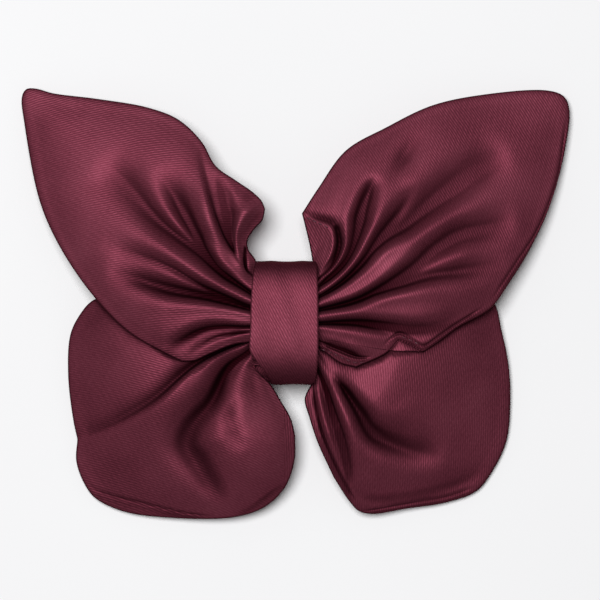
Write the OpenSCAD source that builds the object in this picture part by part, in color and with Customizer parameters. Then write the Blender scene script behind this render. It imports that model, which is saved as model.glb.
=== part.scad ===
// Butterfly bow tie: two pairs of sewn cloth wings gathered at a wrapped knot, on a sprung clip.
// The bow lies face up. +X runs from wing tip to wing tip, +Y towards the upper wings, +Z out of the face.
// Everything is modelled about the knot and then moved, so that the origin is the centre of the bow's box.

/* [Bow] */
// Width of the bow from wing tip to wing tip
bow_w = 181; // [176:1:186]
// Thickness of a panel at its sewn and turned edge
edge_t = 0.9; // [0.7:0.1:1.1]
// How far the middle of an upper wing's front stands above its seam
fore_crown = 5; // [3:0.5:6]
// How far the middle of a lower wing's front stands above its seam
hind_crown = 6; // [4:0.5:7]
// Height of the lower wings' seam at the knot, above the surface that the bow lies on
hind_seam_z = 13.25; // [13.2:0.05:13.4]
// Height of the upper wings' seam at the knot
fore_seam_z = 18.6; // [18.5:0.05:18.8]

/* [Centre band] */
// Width of the band that wraps the knot
band_w = 22; // [20:0.5:22]
// Thickness of the folded band
band_t = 1.4; // [1:0.1:1.6]
// Half the inside length of the band, along Y
band_half = 18.8; // [18.6:0.1:19.4]
// Half the inside depth of the band, along Z
band_depth = 7.1; // [7:0.1:7.4]
// Number of stitches that close the band's lap
lap_stitches = 7; // [5:1:9]

/* [Clip] */
// Width of the clip's arms
clip_w = 8; // [7.6:0.2:9]
// Thickness of the clip's steel strip
steel_t = 0.8; // [0.7:0.05:0.8]
// Distance from the knot to the clip's pin
pin_x = 18; // [17:0.5:20]
// Radius of the pin
pin_r = 0.9; // [0.8:0.05:1]
// Turns of the torsion spring
spring_turns = 4; // [3:1:4]

/* [Hidden] */

wine = [0.42, 0.13, 0.22];
wine_dark = [0.30, 0.08, 0.15];
steel = [0.78, 0.78, 0.80];
size_k = bow_w / 181;               // the outlines below are drawn for a bow 181 mm wide
knot = [-3.7 * size_k, -6.5 * size_k, 0]; // the knot, from the centre of the bow's box

// Outlines, from the knot's upper side round the wing to its lower side.
fore_left = [[-10, 26], [-10.8, 36.5], [-22, 51], [-34, 66.5], [-60, 73.5], [-84, 76.8], [-86.5, 66],
             [-80.5, 41], [-64, 10.5], [-51.5, -2.5], [-33, -12.8], [-22, -11.5]];
fore_right = [[10, 26], [10.8, 36], [20, 56.5], [48, 71.5], [70, 75.6], [90.5, 76.4], [94, 66],
              [87.5, 39], [68, 5], [50, -6.5], [24, -14.2], [18, -12.5]];
hind_left = [[-30, 8.6], [-61, 8.8], [-70.5, -4], [-70.8, -30], [-68.3, -46], [-61, -59.5], [-38, -64.3],
             [-12, -63.2], [0.5, -54], [2.5, -42], [-2, -32], [-5.5, -25]];
hind_right = [[30, 8.6], [64, 9], [72, -3], [74.8, -26], [68, -50.5], [53, -59.8], [28, -63.5],
              [17, -52], [11, -39], [8.6, -31], [8.8, -25.5]];

// Where the gathered cloth leaves the band on the right: its upper and its lower end, in X and Y.
fore_gate = [[10, 16.5], [12, -8]];
hind_gate = [[12, 6], [12, -15]];
// The directions in which the gathers leave the gate, for the left wing, in degrees.
fore_fan = [95, 198];
hind_fan = [172, 258];
fan_pull = 9;                       // how far the middle gathers keep their first direction
hold_r = 38;                        // the cloth stays level out to this radius, over the clip
fore_tip_r = 114;                   // radius of the upper wings' tips
hind_tip_r = 75;                    // radius of the lower wings' outer corners
rest_z = edge_t;                    // height of the seam where the wings touch the surface
layer_gap = 0.1;                    // between the front and back panels

waist_rows = [0, 1.5, 2.4];         // rows of a panel inside the band, as distances from the knot
wing_rows = [0, 0.14, 0.3, 0.5, 0.7, 0.86, 1]; // rows of a wing, from the gate out to the edge
cols = 24;
row_n = len(waist_rows) + len(wing_rows);

band_mid_z = 17.5;                  // height of the middle of the band's inside
thread_w = 0.4;                     // width of a turn of gathering thread
thread_pitch = 0.7;                 // from turn to turn
thread_gap = 0.06;                  // between the cloth and its turns of thread
neck = 0.6;                         // how much deeper the cloth is drawn in under the thread
neck_rows = 1.5;                    // half the length of that neck
stitch_r = 0.2;                     // radius of a sewing stitch
hem_lines = [[0.09, 0.17], [0.83, 0.91]]; // the two lines of hem stitches, as t along the wing's edge
hem_s = 0.92;                       // how far out on the wing they are
hem_count = 8;                      // stitches in each line

// Heights of the gathered cloth inside the band.
fore_top_z = 24.2;
hind_top_z = 15.9;
fore_low_z = 16.2;
hind_low_z = 11.6;

arm_top_z = 11.4;                   // top of the clip's upper arm
arm_low_z = arm_top_z - steel_t;
jaw_tip_x = -32;                    // the jaws' tip, from the knot
tail_x = 37;                        // the levers' end
pin_z = 7.2;
run_gap = 0.05;                     // between the pin and the arms' bores
ear_gap = 0.2;                      // between the ears of the two arms
ear_r = 2.9;                        // radius of the lower arm's ears
ear_in = clip_w / 2 - steel_t;      // inner face of the upper arm's ears
low_ear_out = ear_in - ear_gap;     // outer face of the lower arm's ears
low_ear_in = low_ear_out - steel_t;
wire_r = 0.3;
coil_r = 1.65;                      // mean radius of the spring's coil

function mix(a, b, k) = a + (b - a) * k;
function smooth(k) = let (c = min(max(k, 0), 1)) c * c * (3 - 2 * c);

// A point on the smooth curve through the points p, at u from 0 to 1.
function along(p, u) =
    let (n = len(p) - 1, i = min(floor(u * n), n - 1), f = u * n - i,
         a = p[max(i - 1, 0)], b = p[i], c = p[i + 1], d = p[min(i + 2, n)])
    (2 * b + (c - a) * f + (2 * a - 5 * b + 4 * c - d) * f * f + (3 * b - a - 3 * c + d) * f * f * f) / 2;

// The seam's height at a point, level over the clip and then falling to the surface.
function seam(waist_z, tip_r, p) =
    waist_z - (waist_z - rest_z) * pow(min(max(norm(p) / size_k - hold_r, 0) / (tip_r - hold_r), 1), 1.22);

// Half the inside depth of the band at a distance y from its middle.
function dome(y) = band_depth * pow(max(1 - pow(abs(y) / band_half, 4), 0), 0.25);

// Top of the upper wings' cloth inside the band.
function fore_top(y) = min(fore_top_z, band_mid_z + dome(min(y, fore_gate[0].y)) - 0.2);

// A wing's point in plan: s from 0 at the band to 1 at the edge, t from 0 at the upper side to 1.
function wing_plan(edge, gate, fan, side, s, t) =
    let (q = mix(gate[0], gate[1], t), g = [side * q.x, q.y], a = mix(fan[0], fan[1], t),
         o = along(edge, t) * size_k, pull = fan_pull * sin(180 * t),
         m = g + pull * [-side * cos(a), sin(a)])
    g * (1 - s) * (1 - s) + m * 2 * s * (1 - s) + o * s * s;

// How far row i is along the wing, from 0 inside the band to 1 at the edge.
function reach(i) = i < len(waist_rows) ? 0 : wing_rows[i - len(waist_rows)];
function in_neck(i) = i < len(waist_rows) && waist_rows[i] <= neck_rows ? neck : 0;
function plan(edge, gate, fan, side, i, t) =
    i < len(waist_rows) ? [side * waist_rows[i], mix(gate[0].y, gate[1].y, t)]
                        : wing_plan(edge, gate, fan, side, reach(i), t);

// Heights of a panel's two faces at a point of the wing, drawn in by dip under the thread.
function fore_front_z(p, s, t, dip) =
    let (base = seam(fore_seam_z, fore_tip_r, p),
         wing = base + edge_t + fore_crown * pow(sin(180 * t), 0.7) * (1 - pow(s, 3)))
    [base + layer_gap / 2, mix(fore_top(p.y) - dip, wing, smooth(s / 0.4))];
function fore_back_z(p, s, t, dip) =
    let (base = seam(fore_seam_z, fore_tip_r, p),
         deep = mix(fore_seam_z - fore_low_z - dip, edge_t, smooth(s / 0.9)))
    [base - deep, base - layer_gap / 2];
function hind_front_z(p, s, t, dip) =
    let (base = seam(hind_seam_z, hind_tip_r, p),
         rise = smooth((t - 0.3) / 0.4) * pow(sin(180 * t), 0.5),
         wing = base + edge_t + 1.2 * (1 - s) + hind_crown * rise * (1 - pow(s, 3)))
    [base + layer_gap / 2, mix(hind_top_z - dip, wing, smooth(s / 0.4))];
function hind_back_z(p, s, t, dip) =
    let (base = seam(hind_seam_z, hind_tip_r, p),
         deep = mix(hind_seam_z - hind_low_z - dip, edge_t, smooth(s / 0.9)))
    [base - deep, base - layer_gap / 2];
function face_z(kind, p, s, t, dip) =
    kind == "fore_front" ? fore_front_z(p, s, t, dip) : kind == "fore_back" ? fore_back_z(p, s, t, dip) :
    kind == "hind_front" ? hind_front_z(p, s, t, dip) : hind_back_z(p, s, t, dip);

// One cloth panel from its left edge through the knot to its right edge, as a closed solid.
module panel(kind, left, right, gate, fan) {
    rows = 2 * row_n - 1;
    plans = [for (r = [0 : rows - 1]) let (i = abs(r - row_n + 1), side = r < row_n - 1 ? -1 : 1)
             [for (j = [0 : cols]) plan(side < 0 ? left : right, gate, fan, side, i, j / cols)]];
    function pts(face) = [for (r = [0 : rows - 1], j = [0 : cols])
        let (p = plans[r][j], i = abs(r - row_n + 1))
        [p.x, p.y, face_z(kind, p, reach(i), j / cols, in_neck(i))[face]]];
    w = cols + 1;
    above = rows * w;
    function low(r, j) = r * w + j;
    function top(r, j) = above + r * w + j;
    faces = concat(
        [for (r = [0 : rows - 2], j = [0 : cols - 1], k = [0, 1])
            k == 0 ? [low(r, j), low(r, j + 1), low(r + 1, j + 1)]
                   : [low(r, j), low(r + 1, j + 1), low(r + 1, j)]],
        [for (r = [0 : rows - 2], j = [0 : cols - 1], k = [0, 1])
            k == 0 ? [top(r, j), top(r + 1, j + 1), top(r, j + 1)]
                   : [top(r, j), top(r + 1, j), top(r + 1, j + 1)]],
        [for (j = [0 : cols - 1], k = [0, 1])
            k == 0 ? [low(0, j), top(0, j), low(0, j + 1)] : [low(0, j + 1), top(0, j), top(0, j + 1)]],
        [for (j = [0 : cols - 1], k = [0, 1])
            k == 0 ? [low(rows - 1, j), low(rows - 1, j + 1), top(rows - 1, j)]
                   : [low(rows - 1, j + 1), top(rows - 1, j + 1), top(rows - 1, j)]],
        [for (r = [0 : rows - 2], k = [0, 1])
            k == 0 ? [low(r, 0), low(r + 1, 0), top(r, 0)] : [low(r + 1, 0), top(r + 1, 0), top(r, 0)]],
        [for (r = [0 : rows - 2], k = [0, 1])
            k == 0 ? [low(r, cols), top(r, cols), low(r + 1, cols)]
                   : [low(r + 1, cols), top(r, cols), top(r + 1, cols)]]);
    polyhedron(concat(pts(0), pts(1)), faces);
}

// A flat loop in the YZ plane, of the given size along X, between two outlines.
module loop_yz(x, len_x) {
    translate([x - len_x / 2, 0, 0]) rotate([90, 0, 90]) linear_extrude(len_x) children();
}

// Turns of thread drawn tight round the gathered cloth, which reaches from low up to tops.
module gather_thread(gate, low, tops) {
    n = len(tops) - 1;
    low_y = gate[1].y;
    top_y = gate[0].y;
    function side_y(k, d) = mix(low_y, top_y, k / n) + (k == 0 ? -d : k == n ? d : 0);
    function outline(d) = concat([[low_y - d, low + neck - d], [top_y + d, low + neck - d]],
                                 [for (k = [n : -1 : 0]) [side_y(k, d), tops[k] - neck + d]]);
    color(wine_dark)
        for (k = [-1.5 : 1 : 1.5])
            loop_yz(k * thread_pitch, thread_w) difference() {
                polygon(outline(thread_w + thread_gap));
                polygon(outline(thread_gap));
            }
}

module fore_gather_thread() {
    gather_thread(fore_gate, fore_low_z,
                  [for (k = [0 : 1 / 12 : 1]) fore_top(mix(fore_gate[1].y, fore_gate[0].y, k))]);
}

module hind_gather_thread() {
    gather_thread(hind_gate, hind_low_z, [hind_top_z, hind_top_z]);
}

// A round wire or thread along a line of points, with rings square to the line.
module wire(line, r) {
    n = len(line);
    sides = 8;
    function way(k) = let (d = line[min(k + 1, n - 1)] - line[max(k - 1, 0)]) d / norm(d);
    function across(d) = let (u = cross(d, abs(d.y) > 0.8 ? [0, 0, 1] : [0, 1, 0])) u / norm(u);
    rings = [for (k = [0 : n - 1], q = [0 : sides - 1])
             let (d = way(k), a = across(d), b = cross(d, a))
             line[k] + r * (cos(360 * q / sides) * a + sin(360 * q / sides) * b)];
    walls = [for (k = [0 : n - 2], q = [0 : sides - 1], h = [0, 1])
             let (p = k * sides + q, next = k * sides + (q + 1) % sides)
             h == 0 ? [p, next + sides, next] : [p, p + sides, next + sides]];
    ends = [[for (q = [0 : sides - 1]) q], [for (q = [sides - 1 : -1 : 0]) (n - 1) * sides + q]];
    polyhedron(rings, concat(walls, ends));
}

// Stitches that close the turned hem of the right upper wing, along its upper and its lower edge.
module hem_stitches() {
    function spot(t) = let (p = wing_plan(fore_right, fore_gate, fore_fan, 1, hem_s, t))
        [p.x, p.y, fore_front_z(p, hem_s, t, 0)[1] + stitch_r];
    color(wine_dark)
        for (ends = hem_lines, k = [0 : hem_count - 1])
            let (t = mix(ends[0], ends[1], k / hem_count), dt = (ends[1] - ends[0]) / hem_count)
            wire([spot(t), spot(t + dt * 0.35), spot(t + dt * 0.7)], stitch_r);
}

// The band's section, a rounded box of half sizes a and b.
module band_section(a, b) {
    polygon([for (q = [0 : 5 : 355])
             [a * sign(cos(q)) * sqrt(abs(cos(q))), band_mid_z + b * sign(sin(q)) * sqrt(abs(sin(q)))]]);
}

lap_t = 0.7;                        // thickness of the band's overlapping end
lap_y = [-9, 9];                    // where the overlapping end lies, along Y
band_low_z = band_mid_z - band_depth - band_t;
lap_low_z = band_low_z - lap_t + 0.1;

module centre_band() {
    color(wine) loop_yz(0, band_w) difference() {
        union() {
            band_section(band_half + band_t, band_depth + band_t);
            translate([lap_y[0], lap_low_z]) square([lap_y[1] - lap_y[0], lap_t]);
        }
        band_section(band_half, band_depth);
    }
}

// Slanting stitches over the edge of the band's lap.
module band_stitches() {
    pitch = (band_w - 4) / (lap_stitches - 1);
    y = lap_y[0];
    color(wine_dark)
        for (k = [0 : lap_stitches - 1])
            translate([k * pitch - band_w / 2 + 2, 0, 0])
                wire([[-0.5, y - 1.4, band_low_z - stitch_r], [-0.1, y - 0.3, lap_low_z - stitch_r - 0.05],
                      [0.5, y + 1.2, lap_low_z - stitch_r - 0.05]], stitch_r);
}

// A strip of steel bent along a line of points in the XZ plane, of the given width along Y.
module bent_strip(line, width) {
    h = steel_t / 2;
    rotate([90, 0, 0]) translate([0, 0, -width / 2]) linear_extrude(width)
        polygon(concat([for (p = line) p + [0, h]], [for (k = [len(line) - 1 : -1 : 0]) line[k] - [0, h]]));
}

// One ear with its bore, standing on the strip between z0 and the pin.
module ear(y0, r, z_strip) {
    translate([pin_x, y0, 0]) rotate([90, 0, 0]) translate([0, 0, -steel_t]) linear_extrude(steel_t)
        difference() {
            union() {
                translate([0, pin_z]) circle(r = r, $fn = 48);
                translate([-r, min(pin_z, z_strip)]) square([2 * r, abs(z_strip - pin_z)]);
            }
            translate([0, pin_z]) circle(r = pin_r + run_gap, $fn = 48);
        }
}

module clip_upper_arm() {
    color(steel) {
        translate([0, 0, arm_low_z]) linear_extrude(steel_t) union() {
            translate([jaw_tip_x + clip_w / 2, -clip_w / 2]) square([tail_x - jaw_tip_x - clip_w, clip_w]);
            translate([jaw_tip_x + clip_w / 2, 0]) circle(d = clip_w, $fn = 48);
            translate([tail_x - clip_w / 2, 0]) circle(d = clip_w, $fn = 48);
        }
        for (y0 = [ear_in, -clip_w / 2]) ear(y0, ear_r + 0.3, arm_low_z + 0.01);
    }
}

strip_z = 4.5;                      // middle of the lower arm's strip at the pin
jaw_z = 9.2;                        // middle of the strip at the jaw's tip
jaw_line = [[pin_x - 6.4, strip_z], [4, 4.7], [-6, 4.9], [-14, 5.3], [-18, 6], [-22, 7.2], [-25.5, 8.6],
            [-27.5, jaw_z], [jaw_tip_x + 0.4, jaw_z]];
tail_line = [[pin_x + 6.4, strip_z], [pin_x + 8, 3.9], [pin_x + 13, 1.1], [pin_x + 14.4, steel_t / 2],
             [tail_x + 1, steel_t / 2]];

module clip_lower_arm() {
    color(steel) {
        bent_strip(jaw_line, clip_w);
        bent_strip([[pin_x - 6.5, strip_z], [pin_x + 6.5, strip_z]], 2 * low_ear_out);
        bent_strip(tail_line, clip_w);
        for (y0 = [low_ear_in, -low_ear_out]) ear(y0, ear_r, strip_z);
        // Teeth across the jaw's tip.
        for (k = [0 : 2])
            translate([jaw_tip_x + 0.8 + k * 1.2, clip_w / 2 - 0.6, jaw_z + steel_t / 2 - 0.01])
                rotate([90, 0, 0]) linear_extrude(clip_w - 1.2) polygon([[0, 0], [1, 0], [0.5, 0.6]]);
    }
}

module clip_pin() {
    head_r = pin_r + 0.6;
    head_t = 0.5;
    color(steel) translate([pin_x, 0, pin_z]) rotate([90, 0, 0]) {
        cylinder(r = pin_r, h = clip_w + 0.2, center = true, $fn = 48);
        for (k = [-1, 1])
            translate([0, 0, k * (clip_w / 2 + 0.05 + head_t / 2)])
                cylinder(r = head_r, h = head_t, center = true, $fn = 48);
    }
}

// The torsion spring: a coil round the pin with a leg under the upper arm and one on the lower tail.
coil_half = spring_turns * 0.7 / 2;
leg_x = 11;                         // how far the legs reach past the pin
// A point of the coil, q turns from its upper leg.
function coil_point(q) =
    [pin_x - coil_r * sin(360 * q), mix(coil_half, -coil_half, q / (spring_turns + 0.5)),
     pin_z + coil_r * cos(360 * q)];
spring_line = concat(
    [[pin_x + leg_x, coil_half, arm_low_z - wire_r - 0.1], [pin_x + leg_x - 4, coil_half, arm_low_z - 0.8]],
    [for (q = [0 : 1 / 12 : spring_turns + 0.51]) coil_point(q)],
    [[pin_x + leg_x - 4.8, -coil_half, 5.4], [pin_x + leg_x - 2.6, -coil_half, 4.75],
     [pin_x + leg_x, -coil_half, 3.4]]);

module clip_spring() {
    color(steel) wire(spring_line, wire_r);
}

translate(knot) {
    color(wine) panel("fore_front", fore_left, fore_right, fore_gate, fore_fan);  // fore_front_panel
    color(wine) panel("fore_back", fore_left, fore_right, fore_gate, fore_fan);  // fore_back_panel
    color(wine) panel("hind_front", hind_left, hind_right, hind_gate, hind_fan);  // hind_front_panel
    color(wine) panel("hind_back", hind_left, hind_right, hind_gate, hind_fan);  // hind_back_panel
    fore_gather_thread();
    hind_gather_thread();
    hem_stitches();
    centre_band();
    band_stitches();
    clip_upper_arm();
    clip_lower_arm();
    clip_pin();
    clip_spring();
}
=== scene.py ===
"""A butterfly bow of wine-red satin twill: two pairs of gathered wings, a centre band and a clip.

Shapes are worked out in millimetres about the knot, with +X to the right, +Y towards the pointed
wings and +Z out of the face, and turned into metres in the CAD frame at the end.
"""
import math

import bpy
import numpy as np
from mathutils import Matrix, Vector


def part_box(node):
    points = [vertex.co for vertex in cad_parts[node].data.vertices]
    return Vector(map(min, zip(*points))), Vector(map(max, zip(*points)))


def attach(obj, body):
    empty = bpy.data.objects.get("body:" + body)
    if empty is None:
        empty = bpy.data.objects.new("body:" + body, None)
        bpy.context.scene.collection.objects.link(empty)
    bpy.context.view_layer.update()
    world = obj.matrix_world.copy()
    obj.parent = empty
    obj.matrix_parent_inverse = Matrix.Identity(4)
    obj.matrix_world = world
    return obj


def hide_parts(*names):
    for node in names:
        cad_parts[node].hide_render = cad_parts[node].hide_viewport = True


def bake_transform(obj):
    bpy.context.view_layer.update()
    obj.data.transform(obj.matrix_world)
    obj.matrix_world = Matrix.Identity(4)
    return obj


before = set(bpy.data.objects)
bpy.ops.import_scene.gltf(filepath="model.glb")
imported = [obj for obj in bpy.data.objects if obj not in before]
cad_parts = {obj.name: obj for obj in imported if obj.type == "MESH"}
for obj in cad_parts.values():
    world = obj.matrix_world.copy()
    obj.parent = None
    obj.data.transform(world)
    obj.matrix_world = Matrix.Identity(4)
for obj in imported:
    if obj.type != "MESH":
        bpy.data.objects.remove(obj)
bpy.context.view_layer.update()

MM = 0.001
BODY = "bow"
scene = bpy.context.scene


def box_mm(node):
    low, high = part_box(node)
    return np.array(low) / MM, np.array(high) / MM


def middle_mm(node):
    low, high = box_mm(node)
    return (low + high) / 2


KNOT = np.array([middle_mm("centre_band")[0], middle_mm("clip_pin")[1], 0.0])


# ---------------------------------------------------------------- curves

def spline(points, count):
    """A smooth curve through the points, as count points evenly spaced along it."""
    p = np.array(points, float)
    if len(p) == 2:
        k = np.linspace(0, 1, count)[:, None]
        return p[0] * (1 - k) + p[1] * k
    p = np.vstack([2 * p[0] - p[1], p, 2 * p[-1] - p[-2]])
    pieces = []
    for a, b, c, d in zip(p[:-3], p[1:-2], p[2:-1], p[3:]):
        gaps = [max(np.linalg.norm(v - w), 1e-6) ** 0.5 for v, w in ((b, a), (c, b), (d, c))]
        knots = np.cumsum([0] + gaps)
        u = np.linspace(knots[1], knots[2], 24, endpoint=False)[:, None]

        def lerp(v, w, i, j):
            return (knots[j] - u) / (knots[j] - knots[i]) * v + (u - knots[i]) / (knots[j] - knots[i]) * w

        ab, bc, cd = lerp(a, b, 0, 1), lerp(b, c, 1, 2), lerp(c, d, 2, 3)
        pieces.append(lerp(lerp(ab, bc, 0, 2), lerp(bc, cd, 1, 3), 1, 2))
    return even(np.vstack(pieces + [p[-2:-1]]), count)


def even(curve, count):
    """The same curve with count points evenly spaced along it."""
    run = np.concatenate([[0], np.cumsum(np.linalg.norm(np.diff(curve, axis=0), axis=1))])
    at = np.linspace(0, run[-1], count)
    return np.stack([np.interp(at, run, curve[:, k]) for k in range(curve.shape[1])], axis=1)


def joined(parts, count):
    """One curve of smooth parts that meet at corners."""
    return even(np.vstack([spline(p, 200) for p in parts]), count)


def at_share(curve, shares):
    """Points of an evenly spaced curve at shares of its length."""
    index = np.linspace(0, 1, len(curve))
    return np.stack([np.interp(shares, index, curve[:, k]) for k in range(curve.shape[1])], axis=1)


def nearest(xy, curve):
    """For each point: its distance from the curve, the side it is on and how far along the curve."""
    flat = xy.reshape(-1, 2)
    a, b = curve[:-1], curve[1:]
    run = np.concatenate([[0], np.cumsum(np.linalg.norm(b - a, axis=1))])
    ab = b - a
    len2 = np.maximum((ab ** 2).sum(1), 1e-12)
    dist, side, along = (np.empty(len(flat)) for _ in range(3))
    for start in range(0, len(flat), 8192):
        q = flat[start:start + 8192]
        ap = q[:, None, :] - a[None]
        k = np.clip((ap * ab).sum(2) / len2, 0, 1)
        off = ap - k[..., None] * ab
        d2 = (off ** 2).sum(2)
        i = d2.argmin(1)
        row = np.arange(len(q))
        part = slice(start, start + len(q))
        dist[part] = np.sqrt(d2[row, i])
        side[part] = np.sign(ab[i, 0] * off[row, i, 1] - ab[i, 1] * off[row, i, 0])
        along[part] = (run[i] + k[row, i] * np.sqrt(len2[i])) / run[-1]
    shape = xy.shape[:-1]
    return dist.reshape(shape), side.reshape(shape), along.reshape(shape)


def smooth(x):
    """0 to 1 for x from 0 to 1, level at both ends."""
    c = np.clip(x, 0, 1)
    return c * c * (3 - 2 * c)


def soft_max(a, b, width):
    """The larger of two values, rounded off over a width where they are near each other."""
    return (a + b + np.sqrt((a - b) ** 2 + width ** 2)) / 2


def blurred(field, passes):
    """A field on a grid, smoothed along both of the grid's directions."""
    for _ in range(passes):
        p = np.pad(field, 1, mode="edge")
        field = (p[:-2, 1:-1] + p[2:, 1:-1] + p[1:-1, :-2] + p[1:-1, 2:] + 2 * field) / 6
    return field


# ---------------------------------------------------------------- folds

DEPTH = 1.35                       # multiplies every depth in the tables of valleys


def along_values(values, u):
    return np.interp(u, np.linspace(0, 1, len(values)), values)


def valley(xy, points, depth, width, lean=0.0, power=1.45, shoulder=0.09):
    """A fold that dips along a curve, between two rounded shoulders.

    depth and width are lists of values along it. lean makes it wider on its left side.
    """
    d, side, u = nearest(xy, spline(points, 60))
    deep = DEPTH * along_values(depth, u)
    w = along_values(width, u) * (1 + lean * side)
    ends = np.where((u <= 0) | (u >= 1), np.exp(-(d / (2 * w)) ** 2), 1)
    return deep * (shoulder * np.exp(-((d - 2 * w) / (1.1 * w)) ** 2) - np.exp(-(d / w) ** power)) * ends


def lip(xy, points, up, down, wide_up, wide_down, edge):
    """A fold whose left side lies over its right side, with a steep edge between them."""
    d, side, u = nearest(xy, spline(points, 80))
    over = 0.5 + 0.5 * np.tanh(d * side / edge)
    raised = along_values(up, u) * np.exp(-(d / along_values(wide_up, u)) ** 1.6)
    sunk = along_values(down, u) * np.exp(-(d / along_values(wide_down, u)) ** 1.4)
    return over * raised - (1 - over) * sunk


def valleys(xy, table):
    return sum(valley(xy, *row) for row in table)


# ---------------------------------------------------------------- wings

COLS = 300
EDGE_ROWS = np.array([0.05, 0.04, 0.031, 0.024, 0.018, 0.0125, 0.008, 0.0045, 0.002, 0.0006, 0.0])
ROWS = np.concatenate([np.linspace(0, 0.94, 118), 1 - EDGE_ROWS])
EVEN = np.linspace(0, 1, COLS)
TURNS = EVEN - 0.11 * np.sin(2 * math.pi * EVEN)       # closer together at a wing's two sides


class Wing:
    """A wing in plan: a patch between the gate at the band, its outer edge and its two short sides."""

    def __init__(self, gate, upper, edge, lower):
        t = TURNS[None, :, None]
        s = ROWS[:, None, None]
        inner = at_share(spline(gate, 400), TURNS)[None]
        outer = at_share(joined(edge, 1600), TURNS)[None]
        first = spline(upper, 400)
        last = spline(lower, 400)
        c0 = at_share(first, ROWS)[:, None]
        c1 = at_share(last, ROWS)[:, None]
        corners = ((1 - s) * ((1 - t) * inner[:, :1] + t * inner[:, -1:])
                   + s * ((1 - t) * outer[:, :1] + t * outer[:, -1:]))
        self.xy = (1 - t) * c0 + t * c1 + (1 - s) * inner + s * outer - corners
        self.s = np.broadcast_to(ROWS[:, None], self.xy.shape[:2])
        self.t = np.broadcast_to(TURNS[None], self.xy.shape[:2])
        rim = np.vstack([first, joined(edge, 900), last[::-1]])
        self.rim = even(rim, 700)
        self.edge_d = nearest(self.xy, self.rim)[0]
        self.dome = blurred(1 - np.exp(-self.edge_d / 8.0), 60)
        self.r = np.linalg.norm(self.xy, axis=2)


fore_left = Wing(
    gate=[(-9.8, 16.4), (-10.4, 6), (-10.6, -6)],
    upper=[(-9.8, 16.4), (-9.2, 20.2), (-11.6, 23.8), (-12.0, 26.8), (-9.8, 30.6), (-7.1, 33.6),
           (-6.2, 37.2)],
    edge=[[(-6.2, 37.2), (-7.4, 40.0), (-10.8, 43.2), (-16.2, 46.9), (-22.4, 51.4), (-27.2, 59.6),
           (-34.8, 66.8), (-44.8, 70.8), (-61.5, 73.8), (-76.5, 75.8), (-82.2, 77.4), (-85.4, 77.2),
           (-86.8, 74.6), (-85.9, 66), (-80.8, 40.8), (-74.8, 26.8), (-64.2, 10.8), (-51.5, -2.5),
           (-39.8, -9.5), (-33.4, -12.6)]],
    lower=[(-10.6, -6), (-17, -7.2), (-24, -10), (-29.5, -12.4), (-33.4, -12.6)])

fore_right = Wing(
    gate=[(9.8, 16.4), (10.4, 6), (10.6, -7)],
    upper=[(9.8, 16.4), (8.6, 24), (7.0, 31), (5.8, 35.8)],
    edge=[[(5.8, 35.8), (11.2, 44.2), (20.2, 56.5), (33.5, 64.2), (48.5, 71.5), (65.2, 75.2),
           (86.8, 76.8), (92.4, 74.9), (94.2, 70.8), (92.8, 57.5), (87.8, 39.2), (81.2, 24.8),
           (73.5, 12.5), (67.8, 4.8), (56.8, -1.5), (50.2, -6.4), (45.5, -9.5)],
          [(45.5, -9.5), (41.5, -7.2), (37.5, -5.5)],
          [(37.5, -5.5), (33.5, -9.8), (23.5, -14.5)]],
    lower=[(10.6, -7), (14.5, -10.5), (18.5, -13.2), (23.5, -14.5)])

hind_left = Wing(
    gate=[(-10.6, 4), (-10.8, -6), (-10.4, -14)],
    upper=[(-10.6, 4), (-34.8, 7), (-58, 9)],
    edge=[[(-58, 9), (-63.5, 7.2), (-68, 2), (-70.8, -4.2), (-71.5, -17.5), (-69.8, -32.5),
           (-68.5, -38.5)],
          [(-68.5, -38.5), (-68.9, -45.8), (-66.2, -53.4), (-62.5, -58.2), (-53.2, -62.5),
           (-38.2, -64.5), (-16.5, -64.2), (-6.5, -60.8), (0.2, -54.2), (3.4, -45.2), (3.6, -37)]],
    lower=[(-10.4, -14), (-7.6, -17), (-4.6, -20), (-1.0, -25.8), (2.2, -31.5), (3.6, -37)])

hind_right = Wing(
    gate=[(10.6, 4), (10.8, -6), (10.6, -14)],
    upper=[(10.6, 4), (38, 7), (63, 9)],
    edge=[[(63, 9), (69.2, 6.5), (71.8, -2.5), (74.2, -14.2), (74.8, -25.8), (73.5, -39.2),
           (68.5, -49.8), (63.5, -55.8), (53.5, -59.5), (40.2, -61.5), (29, -63.2), (24.6, -62.2),
           (21.2, -58.6), (16.2, -50.8)]],
    lower=[(10.6, -14), (10.3, -17.6), (8.5, -20.8), (6.7, -24.9), (8.2, -31), (11, -39.4), (16.2, -50.8)])

WINGS = {"fore": (fore_left, fore_right), "hind": (hind_left, hind_right)}


# ---------------------------------------------------------------- heights

LEVEL_R = 38.0                     # the seams stay level out to this distance from the knot
SEAM = {"fore": (18.6, 114.0), "hind": (13.25, 75.0)}   # height at the knot, distance where it is low
SEAM_LOW = 1.3                     # the height that the seams come down to, in a soft curve


def seam_z(kind, r):
    high, tip = SEAM[kind]
    k = 1 - soft_max(1 - np.maximum(r - LEVEL_R, 0) / (tip - LEVEL_R), 0, 0.3)
    return high - (high - SEAM_LOW) * np.maximum(k, 0) ** 1.3


def rolled(edge_d, radius):
    """The rise of the turned edge, like a quarter circle."""
    k = np.clip(edge_d / radius, 0, 1)
    return radius * np.sqrt(np.clip(1 - (1 - k) ** 2, 0, 1))


def gathers(w, count, phase, depth, fade):
    """Fine pleats that leave the gate side by side and melt away outwards."""
    wave = np.cos(2 * math.pi * (count * w.t + phase + 0.35 * np.sin(5 * w.t + phase)))
    return depth * (wave - 0.4) * np.exp(-w.s / fade)


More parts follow.
